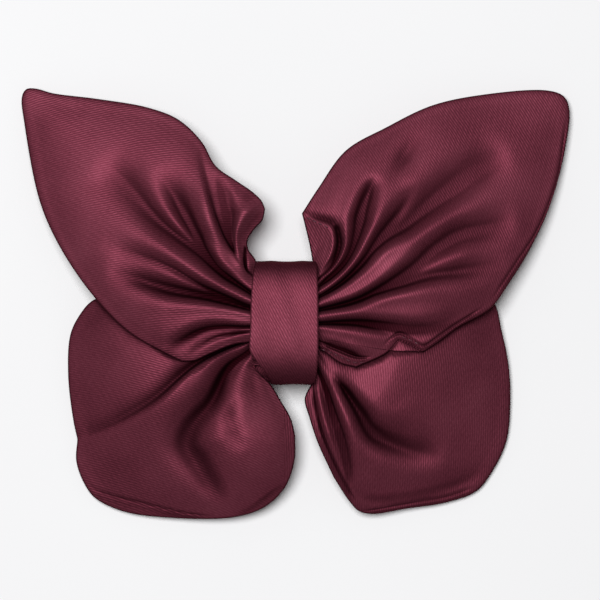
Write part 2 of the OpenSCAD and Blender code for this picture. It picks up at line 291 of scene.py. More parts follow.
# Each row: points, depths, widths, lean and, where they differ, power and shoulder. A negative
# depth is a ridge.
FORE_LEFT = [
    ([(-9, 8.4), (-20.4, 16.6), (-26.8, 22.4), (-34.8, 28.4), (-42.8, 35.5), (-50, 44), (-60, 54)],
     [3.6, 5, 4.6, 3.6, 3.2, 2.2, 0], [0.7, 1.5, 1.9, 2.6, 4, 6, 8], 0.15),
    ([(-23, 19.6), (-28.5, 28), (-32.2, 34.4), (-37.5, 43.5), (-42, 50)],
     [1, 4.6, 4.4, 2.2, 0], [1.4, 2.2, 2.8, 4, 5], -0.15),
    ([(-9, 4.9), (-26.8, 12.4), (-37.5, 18.4), (-48, 22.4), (-60, 25)],
     [2, 2.2, 2, 1.2, 0], [0.6, 1, 1.5, 2.6, 4], 0),
    ([(-9, 3.6), (-24.2, 8.2), (-37.5, 11), (-48.2, 14.4), (-58, 17)],
     [3.6, 4.8, 4.4, 2.6, 0], [0.7, 1.6, 2.6, 4, 6], -0.2),
    ([(-9, -1.2), (-24.7, -1.8), (-32.3, -5), (-38.5, -9.2)],
     [3.4, 3.6, 3, 0.6], [0.7, 1.4, 2.1, 2.6], 0.2),
    ([(-9, -2.6), (-22.8, -4.6), (-28.5, -8.2), (-31.5, -11)],
     [2.6, 2.8, 2, 0.4], [0.6, 1, 1.4, 1.8], 0),
    ([(-23, 49), (-21.5, 44.6), (-19.4, 36), (-18, 28.5), (-15.6, 22)],
     [0.4, 3.2, 4.2, 3.4, 0.6], [1.6, 2.4, 2.8, 1.8, 1], 0),
    ([(-8.2, 39.4), (-13, 34.4), (-15.4, 29), (-15.4, 23.8), (-13.4, 18.4), (-10, 14.2)],
     [-1, -2, -2.2, -2, -1.4, -0.3], [2.4, 2.2, 1.7, 1.3, 1, 0.8], 0),
    ([(-12.8, 24.6), (-12.9, 20.6), (-12.2, 17.4), (-10, 14.9)], [1, 2.4, 2.4, 1], [0.6, 0.7, 0.7, 0.6], 0),
]
FORE_RIGHT = [
    ([(9, 12.8), (14.5, 17), (17.2, 21.5), (18.3, 26), (17.4, 31)],
     [2.4, 3, 3.2, 3, 1], [0.6, 0.8, 1, 1, 0.8], 0),
    ([(9, 11.6), (15, 15.6), (19, 20), (20.6, 25)], [2, 2.4, 2, 0], [0.5, 0.7, 0.8, 0.8], 0),
    ([(9, 10.2), (16, 15.4), (20.5, 20.6), (23.4, 28), (25.2, 36), (27.6, 43), (29.5, 48)],
     [3, 4, 4.4, 5, 5.4, 3.4, 0], [0.6, 0.9, 1.2, 1.7, 2.3, 2.1, 2], -0.1),
    ([(9, 7.2), (18, 12.6), (25, 19.2), (31, 27.4), (38.8, 38.6), (43, 46)],
     [3, 4, 4.6, 4.6, 2.4, 0], [0.6, 1, 1.5, 2, 2.6, 3.5], 0),
    ([(30, 24.5), (38.8, 30.8), (47.2, 38), (56.2, 44.4), (65.2, 51), (74, 56)],
     [1, 4, 4.4, 4, 2.6, 0], [1.6, 2.6, 3.6, 4.4, 5.4, 7], 0.15),
    ([(33.5, 46), (39.5, 55), (44.5, 63)], [0, 1.2, 0.2], [2.6, 2.8, 3.4], 0),
    ([(9, 3.8), (23.2, 7.4), (32.2, 11.8), (42.4, 18.4), (49.6, 24.4), (57.4, 29), (66, 31), (76, 34)],
     [3.4, 4.2, 4.4, 4.6, 4.6, 4.2, 2.6, 0], [0.6, 1.1, 1.5, 2.3, 3, 3.4, 4.5, 6], -0.15),
    ([(31, 10), (42.4, 13.8), (49.6, 15.8), (56.8, 17), (66, 18.6), (74, 21)],
     [1, 3.2, 3.2, 2.8, 1.4, 0], [1, 1.8, 2.4, 3, 4, 5], 0),
    ([(9, -0.2), (23.2, 0.2), (32.2, -0.8), (41.2, -2), (50.2, -1.4), (58, 0.8), (64, 3.4)],
     [3, 4, 4.4, 4.2, 3, 1.4, 0], [0.6, 1.2, 1.7, 2, 2.2, 2.4, 3], -0.1),
    ([(10, -5.4), (18, -8.2), (24, -10.6), (29, -12)], [2.2, 2.4, 2, 0], [0.7, 1, 1.2, 1.2], 0),
]
HIND_LEFT = [
    ([(-11, -8.6), (-18.8, -15.4), (-24.2, -25.6), (-30.6, -34), (-32, -39.6), (-28.8, -45.4),
      (-24.2, -52.6), (-18.8, -59.5)],
     [3, 4, 3.6, 3.2, 3, 2.8, 2, 0.2], [1.1, 2.4, 3.8, 5.2, 5.8, 5.4, 4.6, 4], 0.15, 1.8),
    ([(-15.2, -23.8), (-18, -29.2), (-16.4, -36.4), (-13.4, -42)],
     [0, 0.9, 0.9, 0], [2.2, 2.8, 3, 3], 0, 2, 0),
    ([(-16, -64), (-9.3, -60), (-4.6, -56.4), (-0.1, -53)], [0.4, 1.1, 1.1, 0.4], [0.8, 0.9, 0.9, 0.8], 0),
]
HIND_RIGHT = [
    ([(10, -15.5), (9.6, -21.4), (12, -34.6), (17, -47.5), (21.2, -57)],
     [1.4, 2.4, 3, 2.6, 0.6], [0.6, 0.8, 1, 1, 0.9], 0),
    ([(10.6, -14), (13, -19.5), (16.2, -29.7), (18.6, -37), (20.8, -47.3), (21.4, -55)],
     [3, 4.6, 5, 5, 4, 1], [0.8, 1.3, 1.8, 2.1, 1.8, 1.3], -0.25),
    ([(15.5, -16), (19.4, -21.5), (24.2, -28.9), (29, -36.1), (37, -40.4), (46.6, -42.8), (53, -44)],
     [0, 3, 4, 4.2, 3, 1.8, 0], [1.2, 1.8, 2.6, 3.6, 4.4, 5, 5], 0.15, 1.7),
    ([(24, -57), (33.8, -58.5), (46.6, -57.2), (57.8, -53.5), (66, -49)],
     [0.4, 1.4, 1.6, 1.2, 0.2], [2.4, 3, 3.4, 3, 2.4], 0),
]


def fore_left_folds(w):
    z = valleys(w.xy, FORE_LEFT)
    z += lip(w.xy, [(-10, 13.6), (-13, 17.4), (-16.2, 22.2), (-21, 30.7), (-24.2, 39.2), (-26.3, 47.8),
                    (-27.4, 54.7)],
             [0.3, 0.8, 1.2, 1.5, 1.4, 1, 0.2], [0.5, 1.2, 2, 2.4, 2.2, 1.6, 0.3], [2, 3, 3.5, 4, 5, 5, 5],
             [1, 1.6, 2.6, 4, 4, 4, 3], 0.4)
    return z + gathers(w, 9, 0.1, 0.12, 0.1)


def fore_right_folds(w):
    z = valleys(w.xy, FORE_RIGHT)
    z += lip(w.xy, [(9.4, 14.2), (15.4, 21.4), (16.9, 27.0), (15.6, 31.6), (10.6, 33.8), (6.2, 35.9)],
             [0.3, 0.8, 1, 1, 0.7, 0.5], [1, 1.8, 2, 2, 1.6, 1], [2, 3, 3, 3, 2.4, 2],
             [1, 1.6, 2, 2, 2, 2], 0.3)
    return z + gathers(w, 9, 0.4, 0.12, 0.1)


def hind_left_folds(w):
    z = valleys(w.xy, HIND_LEFT)
    z += lip(w.xy, [(-9.6, -5), (-28.2, -14), (-41.4, -25.4), (-49.5, -30.6), (-61, -36.3), (-69.6, -38.9)],
             [0.6, 2.2, 2.8, 2.8, 2.2, 1], [2.2, 3.6, 2.8, 1.8, 1.2, 0.8], [5, 9, 11, 11, 10, 8],
             [3, 5, 5, 4, 3, 3], 0.35)
    ripples = np.sin(2.2 * (w.xy[..., 1] - 0.28 * w.xy[..., 0]))
    behind = np.exp(-((w.xy[..., 0] + 63) / 9) ** 2 - ((w.xy[..., 1] + 33.5) / 3.6) ** 2)
    return z + 0.12 * ripples * behind + gathers(w, 7, 0.2, 0.4, 0.14)


def hind_right_folds(w):
    return valleys(w.xy, HIND_RIGHT) + gathers(w, 7, 0.5, 0.4, 0.14)


FOLDS = {"fore": (fore_left_folds, fore_right_folds), "hind": (hind_left_folds, hind_right_folds)}
CROWN = {"fore": 5.6, "hind": 6.6}                      # how far a wing's front stands over its seam
GATE_TOP = {"fore": 23.2, "hind": 15.4}                 # heights of the cloth where it meets the band
GATE_LOW = {"fore": 17.0, "hind": 12.2}
GATE_BLEND = 0.3                   # share of a wing over which it leaves those heights
SHEET_GAP = 0.03                   # between the seam height and each of the two sheets
FRONT_ROLL, FRONT_SLOPE = 1.3, 0.85                     # radius of the turned edge, slope behind it
BACK_ROLL, BACK_SLOPE = 1.0, 0.6
SLOPE_FROM = 0.8
SEAM_DEPTH = 0.55                  # of the groove along a seam
SEAM_HALF = 0.4                    # half of that groove's width
STRIP = 2.4                        # width of the painted shade on the strip outside the seam
# Seams that show on the front, as grooves beside the turned edge.
SEAMS = {
    fore_right: [[(66.4, 5.2), (75.3, 18.6), (83.6, 31.4), (90, 48), (92.4, 62), (93.4, 69)],
                 [(32, -7.6), (37.4, -3.4), (41.6, -5.2), (45.4, -7.3), (50.6, -4.2), (58, 0.8), (66, 5.6)],
                 [(11.5, -6.6), (15.7, -8.2), (23.8, -11.2), (29, -11)]],
    hind_left: [[(-66, -53), (-62, -55.4), (-56.4, -57.2), (-42.6, -60.4), (-32.2, -62.8), (-22, -64)]],
    hind_right: [[(23.6, -61.8), (26.1, -62), (45.6, -59), (53.6, -57.6), (64, -54)],
                 [(10.6, -30), (13.2, -38), (18.6, -50), (24, -60)]],
}


def seam_lines(w):
    """1 along the wing's seams, for their groove and painted shade, and 1 on the strip outside them, for
    painted shade, each fading to 0.
    """
    lines, strips = np.zeros_like(w.s), np.zeros_like(w.s)
    for points in SEAMS.get(w, ()):
        d, side, u = nearest(w.xy, spline(points, 60))
        middle = smooth(6 * u) * smooth(6 - 6 * u)
        lines = np.maximum(lines, np.exp(-(d / SEAM_HALF) ** 2) * middle)
        strips = np.maximum(strips, np.exp(-(d / STRIP) ** 2) * middle * (side < 0))
    return lines, strips


for kind, pair in WINGS.items():
    for w, folds in zip(pair, FOLDS[kind]):
        w.folds = blurred(folds(w), 6)
        w.seams, w.strips = seam_lines(w)


def front_z(kind, w):
    """Heights of a wing's front, which the rolled edge caps near the seam."""
    base = seam_z(kind, w.r) + SHEET_GAP
    far = smooth((w.r - 30) / 70)
    crown = CROWN[kind] * w.dome * (1 - 0.45 * far)
    body = base + crown + w.folds * (0.35 + 0.65 * smooth(w.edge_d / 5.0))
    at_gate = GATE_TOP[kind] + w.folds * 0.75
    k = smooth(w.s / GATE_BLEND)
    lift = soft_max(at_gate * (1 - k) + body * k - base, 0.9, 0.8)
    cap = rolled(w.edge_d, FRONT_ROLL) + FRONT_SLOPE * np.maximum(w.edge_d - SLOPE_FROM, 0)
    return base + lift * np.tanh(cap / lift) - SEAM_DEPTH * w.seams


def back_z(kind, w):
    """Heights of a wing's back, which hangs a little below the seam."""
    base = seam_z(kind, w.r) - SHEET_GAP
    pleats = gathers(w, 9, 0.3, 1.3, 0.3)
    k = smooth(w.s / GATE_BLEND)
    hang = w.dome - 0.14 * w.folds
    z = (GATE_LOW[kind] + 0.3 * pleats) * (1 - k) + (base - hang - np.abs(pleats) * 0.4) * k
    lift = soft_max(base - z, 0.5, 0.5)
    cap = rolled(w.edge_d, BACK_ROLL) + BACK_SLOPE * np.maximum(w.edge_d - SLOPE_FROM, 0)
    return base - lift * np.tanh(cap / lift)


# The lower wings stay under the upper wings, and clear of the clip's upper arm.
CELL = 0.5                         # of the grid that the heights are compared on
SPAN = 110.0                       # half of the grid's side
OPEN = 99.0                        # a ceiling where nothing lies above
CLEAR_HALF = (39, 5.5)             # half of the room over the clip's upper arm, along X and Y
ARM_GAP = 0.45


def cells(xy):
    last = int(2 * SPAN / CELL) - 1
    return tuple(np.clip(((xy[..., k] + SPAN) / CELL).astype(int), 0, last) for k in (0, 1))


def ceiling_under(points, room, slope, reach):
    """How high cloth may lie under these points, and rising with slope out to reach beyond them."""
    size = int(2 * SPAN / CELL)
    top = np.full((size, size), OPEN)
    np.minimum.at(top, cells(points[..., :2].reshape(-1, 2)), points[..., 2].ravel() - room)
    for _ in range(int(reach / CELL)):
        p = np.pad(top, 1, constant_values=OPEN)
        near = np.minimum(np.minimum(p[:-2, 1:-1], p[2:, 1:-1]), np.minimum(p[1:-1, :-2], p[1:-1, 2:]))
        top = np.minimum(top, near + slope * CELL)
    return blurred(top, 2)


FRONTS = {kind: [front_z(kind, w) for w in pair] for kind, pair in WINGS.items()}
BACKS = {kind: [back_z(kind, w) for w in pair] for kind, pair in WINGS.items()}
fore_under = np.concatenate([np.dstack([w.xy, z]).reshape(-1, 3)
                             for w, z in zip(WINGS["fore"], BACKS["fore"])])
ceiling = ceiling_under(fore_under, room=0.5, slope=0.9, reach=7.0)
arm_top = box_mm("clip_upper_arm")[1][2] + ARM_GAP
for i, w in enumerate(WINGS["hind"]):
    allowed = soft_max(ceiling[cells(w.xy)], seam_z("hind", w.r) + 0.4, 0.2)
    keep = smooth(w.s / 0.1)
    low = -soft_max(-FRONTS["hind"][i], -allowed, 0.5)
    FRONTS["hind"][i] = FRONTS["hind"][i] * (1 - keep) + low * keep
    aside = np.maximum(np.abs(w.xy[..., 0]) - CLEAR_HALF[0], np.abs(w.xy[..., 1]) - CLEAR_HALF[1])
    BACKS["hind"][i] = soft_max(BACKS["hind"][i], arm_top - 0.8 * np.maximum(aside, 0), 0.2)
    BACKS["hind"][i] = np.minimum(BACKS["hind"][i], seam_z("hind", w.r) - 0.02)


# The waist runs from wing to wing inside the band, and is narrowest in the middle.
WAIST_X = [-7.0, -4.0, -2.2, -1.4, 0.0, 1.4, 2.2, 4.0, 7.0]
NECK_X = 2.0                       # half of the narrowest part
GATE_X = 9.0
WAIST_Y = {"fore": (16.2, -7.8), "hind": (5.8, -14.8)}
NECK_Z = {"fore": (23.1, 17.1), "hind": (14.9, 12.5)}   # heights of the front and of the back


def panel_points(kind, front):
    """Points of a whole panel, from its left edge through the waist to its right edge."""
    heights = (FRONTS if front else BACKS)[kind]
    left, right = (np.dstack([w.xy, z]) for w, z in zip(WINGS[kind], heights))
    waist = []
    neck_z = NECK_Z[kind][0 if front else 1]
    for x in WAIST_X:
        share = smooth((abs(x) - NECK_X) / (GATE_X - NECK_X))
        near = (left if x < 0 else right)[0]
        y = WAIST_Y[kind][0] * (1 - TURNS) + WAIST_Y[kind][1] * TURNS
        row = np.stack([np.full(COLS, x), y * (1 - share) + near[:, 1] * share,
                        neck_z * (1 - share) + near[:, 2] * share], axis=1)
        waist.append(row)
    return np.concatenate([left[::-1], np.array(waist), right])


def add_mesh(name, verts, faces, uv=None):
    """A smooth mesh from points in millimetres about the knot. uv is one pair of metres a point."""
    mesh = bpy.data.meshes.new(name)
    verts = (np.asarray(verts, float).reshape(-1, 3) + KNOT) * MM
    mesh.from_pydata(verts.tolist(), [], faces)
    mesh.polygons.foreach_set("use_smooth", [True] * len(mesh.polygons))
    if uv is not None:
        corner = np.zeros(len(mesh.loops), int)
        mesh.loops.foreach_get("vertex_index", corner)
        layer = mesh.uv_layers.new(name="weave")
        layer.data.foreach_set("uv", np.asarray(uv, float).reshape(-1, 2)[corner].ravel())
    mesh.update()
    obj = bpy.data.objects.new(name, mesh)
    scene.collection.objects.link(obj)
    return obj


def grid_faces(rows, cols, flip=False, wrap_rows=False, wrap_cols=False):
    i, j = np.meshgrid(np.arange(rows if wrap_rows else rows - 1),
                       np.arange(cols if wrap_cols else cols - 1), indexing="ij")
    i2, j2 = (i + 1) % rows, (j + 1) % cols
    quads = np.stack([i * cols + j, i * cols + j2, i2 * cols + j2, i2 * cols + j], axis=2).reshape(-1, 4)
    return (quads[:, ::-1] if flip else quads).tolist()


# Directions of the twill's ribs in plan, in degrees, for the left and the right wing.
RIBS = {"fore": (-4, -66), "hind": (-24, -78)}
RIB_BEND = 0.0022                  # how much the ribs bow, in 1/mm


def panel_uv(kind, points):
    """Across the ribs and along them, in metres."""
    left, right = (math.radians(a) for a in RIBS[kind])
    angle = np.where(points[..., 0] < 0, left, right)
    across = -np.sin(angle) * points[..., 0] + np.cos(angle) * points[..., 1]
    along = np.cos(angle) * points[..., 0] + np.sin(angle) * points[..., 1]
    return np.dstack([across + RIB_BEND * along ** 2, along]) * MM


# How strongly shade is painted into the cloth's colour at hollow places, from 0 to 1.
TURNED_EDGE_SHADE = 0.85                 # painted shade along the turned edge
SEAM_SHADE = 0.75
STRIP_SHADE = 0.6
LOW_FOLD_SHADE = 0.8                     # painted shade at the bottom of a wide fold
UNDER_FORE_SHADOW = 0.8                   # painted shadow on the lower wings beside the upper wings' edge
FAR_SHADE_LOSS = 0.5                     # how much weaker the folds' painted shade is towards the tips
CREASE_BLURS = (6, 40, 160, 420)   # a crease lies below its surroundings, near and far


def painted_panel_shade(kind, front):
    """Painted shade at each point, from 0 on open cloth to 1 in a crease or a turned edge, darker the
    deeper it lies in a fold.
    """
    parts = []
    for w in WINGS[kind]:
        painted_shade = TURNED_EDGE_SHADE * np.exp(-(w.edge_d / 0.45) ** 2) * smooth(w.s / 0.2)
        if front:
            below = sum(blurred(w.folds, n) - w.folds for n in CREASE_BLURS)
            crease = np.clip(below / 2.6, 0, 1) ** 0.8
            low = np.clip((-w.folds - 0.4) / 6.6, 0, 1)
            fade = 1 - FAR_SHADE_LOSS * smooth((w.r - 24) / 44)
            deep = (1 - (1 - crease) * (1 - LOW_FOLD_SHADE * low)) * fade
            painted_shade = np.maximum.reduce([painted_shade, SEAM_SHADE * w.seams, STRIP_SHADE * w.strips, deep])
        parts.append(painted_shade)
    # Painted shadow on the lower wings beside the upper wings' edge.
    if front and kind == "hind":
        for k, fore in enumerate(WINGS["fore"]):
            near_fore = nearest(WINGS[kind][k].xy, fore.rim)[0]
            parts[k] = np.maximum(parts[k], UNDER_FORE_SHADOW * np.exp(-(near_fore / 1.3) ** 1.5))
    return np.concatenate([parts[0][::-1], np.zeros((len(WAIST_X), COLS)), parts[1]])


def paint(obj, name, values):
    layer = obj.data.attributes.new(name, "FLOAT", "POINT")
    layer.data.foreach_set("value", np.asarray(values, np.float32).ravel())


def panel(name, kind, front):
    points = panel_points(kind, front)
    rows, cols = points.shape[:2]
    piece = add_mesh(name, points, grid_faces(rows, cols, flip=not front), panel_uv(kind, points))
    # Shade painted into the colour in the panel's folds and along its edges and seams.
    paint(piece, "painted_shade", painted_panel_shade(kind, front))
    return piece


# ---------------------------------------------------------------- materials

class Material:
    """A material with a Principled shader, and short ways to add nodes to it."""

    def __init__(self, name):
        self.mat = bpy.data.materials.new(name)
        self.mat.use_nodes = True
        self.nodes = self.mat.node_tree.nodes
        self.nodes.clear()
        out = self.nodes.new("ShaderNodeOutputMaterial")
        self.shader = self.nodes.new("ShaderNodeBsdfPrincipled")
        self.link(self.shader.outputs[0], out.inputs[0])

    def link(self, a, b):
        self.mat.node_tree.links.new(a, b)

    def put(self, socket, value):
        if isinstance(value, bpy.types.NodeSocket):
            self.link(value, socket)
        else:
            socket.default_value = value

    def math(self, op, a, b=0.0, c=0.0):
        n = self.nodes.new("ShaderNodeMath")
        n.operation = op
        for socket, value in zip(n.inputs, (a, b, c)):
            self.put(socket, value)
        return n.outputs[0]

    def uv(self):
        """The weave coordinates as a vector, and its two parts."""
        n = self.nodes.new("ShaderNodeUVMap")
        n.uv_map = "weave"
        split = self.nodes.new("ShaderNodeSeparateXYZ")
        self.link(n.outputs[0], split.inputs[0])
        return n.outputs[0], split.outputs[0], split.outputs[1]

    def noise(self, vector, scale, detail, stretch=None):
        if stretch:
            m = self.nodes.new("ShaderNodeMapping")
            m.inputs["Scale"].default_value = stretch
            self.link(vector, m.inputs[0])
            vector = m.outputs[0]
        n = self.nodes.new("ShaderNodeTexNoise")
        n.inputs["Scale"].default_value = scale
        n.inputs["Detail"].default_value = detail
        self.link(vector, n.inputs["Vector"])
        return n.outputs[0]

    def attribute(self, name):
        n = self.nodes.new("ShaderNodeAttribute")
        n.attribute_name = name
        return n.outputs["Fac"]

    def object_vector(self):
        return self.nodes.new("ShaderNodeTexCoord").outputs["Object"]

    def wave(self, coordinate, pitch):
        """A wave from 0 to 1 that repeats every pitch of the coordinate."""
        angle = self.math("MULTIPLY", coordinate, 2 * math.pi / pitch)
        return self.math("MULTIPLY_ADD", self.math("SINE", angle), 0.5, 0.5)

    def ramp(self, value, stops):
        n = self.nodes.new("ShaderNodeValToRGB")
        while len(n.color_ramp.elements) < len(stops):
            n.color_ramp.elements.new(0.5)
        for element, (at, colour) in zip(n.color_ramp.elements, stops):
            element.position = at
            element.color = (*colour, 1)
        self.link(value, n.inputs[0])
        return n.outputs[0]

    def bump(self, height, distance, strength):
        n = self.nodes.new("ShaderNodeBump")
        n.inputs["Distance"].default_value = distance
        n.inputs["Strength"].default_value = strength
        self.link(height, n.inputs["Height"])
        self.link(n.outputs[0], self.shader.inputs["Normal"])

    def spread(self, value, low, high):
        """0 to 1 turned into low to high."""
        return self.math("MULTIPLY_ADD", value, high - low, low)


RIB_PITCH = 0.00078
FLOAT_LENGTH = 0.0026
FLOAT_STEP = 0.37                  # how far each rib's floats are set on from the last rib's
THREAD_PITCH = 0.00042
CLOTH_DARK = (0.010, 0.0009, 0.0020)
CLOTH_MID = (0.168, 0.0345, 0.0560)
CLOTH_LIGHT = (0.290, 0.0780, 0.1150)


def satin_twill():
    """Diagonal ribs of short floats, with fine threads across them and a soft sheen."""
    m = Material("satin_twill")
    vector, across, along = m.uv()
    wander = m.noise(vector, 120, 2)
    across = m.math("MULTIPLY_ADD", m.math("SUBTRACT", wander, 0.5), 0.0009, across)
    rib = m.wave(across, RIB_PITCH)
    row = m.math("FLOOR", m.math("DIVIDE", across, RIB_PITCH))
    shifted = m.math("MULTIPLY_ADD", row, FLOAT_STEP * FLOAT_LENGTH, along)
    floats = m.wave(shifted, FLOAT_LENGTH)
    threads = m.wave(along, THREAD_PITCH)
    height = m.math("MULTIPLY", rib, 0.55)
    height = m.math("MULTIPLY_ADD", m.math("MULTIPLY", rib, floats), 0.35, height)
    height = m.math("MULTIPLY_ADD", threads, 0.10, height)
    blotch = m.noise(vector, 38, 3)
    fibre = m.noise(vector, 2400, 2, (1, 0.35, 1))
    tone = m.math("MULTIPLY_ADD", m.math("SUBTRACT", blotch, 0.5), 0.5, m.spread(height, 0.39, 0.62))
    tone = m.math("MULTIPLY_ADD", m.math("SUBTRACT", fibre, 0.5), 0.35, tone)
    # Painted shade: the cloth's colour is darkened towards CLOTH_DARK in creases, along turned edges and
    # seams, beside the upper wings' edge and at the band's ends.
    tone = m.math("MULTIPLY", tone, m.spread(m.attribute("painted_shade"), 1.0, 0.0))
    colour = m.ramp(tone, [(0.0, CLOTH_DARK), (0.5, CLOTH_MID), (1.0, CLOTH_LIGHT)])
    m.link(colour, m.shader.inputs["Base Color"])
    m.link(m.spread(height, 0.6, 0.52), m.shader.inputs["Roughness"])
    m.shader.inputs["Metallic"].default_value = 0.7     # only tints the gloss: the cloth is no metal
    m.shader.inputs["Specular IOR Level"].default_value = 0.08
    m.shader.inputs["Specular Tint"].default_value = (0.5, 0.12, 0.2, 1)
    m.shader.inputs["Sheen Weight"].default_value = 0.02
    m.shader.inputs["Sheen Roughness"].default_value = 0.45
    m.shader.inputs["Sheen Tint"].default_value = (0.7, 0.22, 0.36, 1)
    m.bump(height, 0.00007, 0.8)
    return m.mat


THREAD_DARK = (0.02, 0.003, 0.007)
THREAD_LIGHT = (0.16, 0.035, 0.06)
LOOP_LIGHT = (0.14, 0.03, 0.055)
TWIST_PITCH = 0.0009
LOOP_PLY_PITCH = 0.0005


def spun(m, ply, light, rough, relief):
    """Finishes a thread's material from its plies, a wave from 0 to 1, with a little fuzz."""
    fuzz = m.noise(m.object_vector(), 5000, 2)
    tone = m.math("MULTIPLY_ADD", fuzz, 0.4, m.math("MULTIPLY", ply, 0.6))
    m.link(m.ramp(tone, [(0.0, THREAD_DARK), (1.0, light)]), m.shader.inputs["Base Color"])
    m.shader.inputs["Roughness"].default_value = rough
    m.bump(ply, relief, 0.9)
    return m.mat


def sewing_thread():
    """Two plies twisted together, with u round the thread and v along it in metres."""
    m = Material("sewing_thread")
    around, along = m.uv()[1:]
    turns = m.math("MULTIPLY_ADD", around, 2.0, m.math("MULTIPLY", along, 1 / TWIST_PITCH))
    return spun(m, m.wave(turns, 1.0), THREAD_LIGHT, 0.5, 0.00008)


def gather_thread():
    """The same thread on a CAD solid: turns lie across X, so the plies slant along the loop."""
    m = Material("gather_thread")
    split = m.nodes.new("ShaderNodeSeparateXYZ")
    m.link(m.object_vector(), split.inputs[0])
    slant = m.math("ADD", split.outputs[0], m.math("ADD", split.outputs[1], split.outputs[2]))
    return spun(m, m.wave(slant, LOOP_PLY_PITCH), LOOP_LIGHT, 0.55, 0.00006)


def steel(name, colour, rough, brush):
    """Plated steel with fine drawn lines along X and a few scuffs."""
    m = Material(name)
    place = m.object_vector()
    lines = m.noise(place, 900, 4, (0.04, 1, 1))
    scuffs = m.noise(place, 260, 5)
    dull = m.ramp(scuffs, [(0.35, tuple(0.72 * c for c in colour)), (0.62, colour)])
    m.link(dull, m.shader.inputs["Base Color"])
    m.shader.inputs["Metallic"].default_value = 1.0
    both = m.math("MULTIPLY_ADD", lines, 0.6, m.math("MULTIPLY", scuffs, 0.4))
    m.link(m.spread(both, rough - 0.12, rough + 0.16), m.shader.inputs["Roughness"])
    m.bump(lines, 0.00002, brush)
    return m.mat


satin_mat = satin_twill()
thread_mat = sewing_thread()
loop_mat = gather_thread()
clip_mat = steel("clip_steel", (0.62, 0.62, 0.64), 0.3, 0.6)
spring_mat = steel("spring_wire", (0.42, 0.42, 0.44), 0.34, 0.4)


def cover(piece, mat, slot, *nodes):
    """Gives a piece its material and puts it in place of its CAD nodes; slot is not used."""
    piece.data.materials.append(mat)
    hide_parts(*nodes)
    return piece


def finish_node(node, mat):
    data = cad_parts[node].data
    data.materials.clear()
    data.materials.append(mat)


# ---------------------------------------------------------------- the cloth

for kind in WINGS:
    for front, side in ((True, "front"), (False, "back")):
        piece = panel(f"{kind}_{side}_cloth", kind, front)
        cover(piece, satin_mat, "satin_twill", f"{kind}_{side}_panel")
        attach(piece, BODY)

# The centre band: a flat tube of folded cloth round the knot. Each row is an angle round the
# loop from +Y over the face, and the band's left and right side there.
BAND_SIDES = [(-60, -10.6, 10.8), (-20, -9.8, 10.6), (10, -9.4, 10.6), (45, -10.1, 10.9),
              (90, -11.0, 11.2), (106, -11.4, 11.2), (114, -11.2, 11.1), (120, -9.8, 11.0),
              (130, -7.9, 10.9), (142, -6.0, 10.7), (158, -4.4, 10.3), (178, -3.8, 9.6),
              (200, -5.2, 9.0), (225, -9.6, 10.4), (255, -10.8, 10.8)]
BAND_HALF = (20.2, 8.5)            # half of the outside along Y and along Z
BAND_MID_Z = 17.5
BAND_T = 1.25                      # thickness of the folded strip
LAP_T = 0.6                        # more thickness where the strip's two ends lap, on the back
LAP_HALF = 9.4                     # half of the lap along Y
BAND_RIBS = math.radians(62)       # from the strip's width towards its length
BAND_CREASE = 0.22                 # depth of the shallow creases along the strip
AROUND = 260
ACROSS = 34


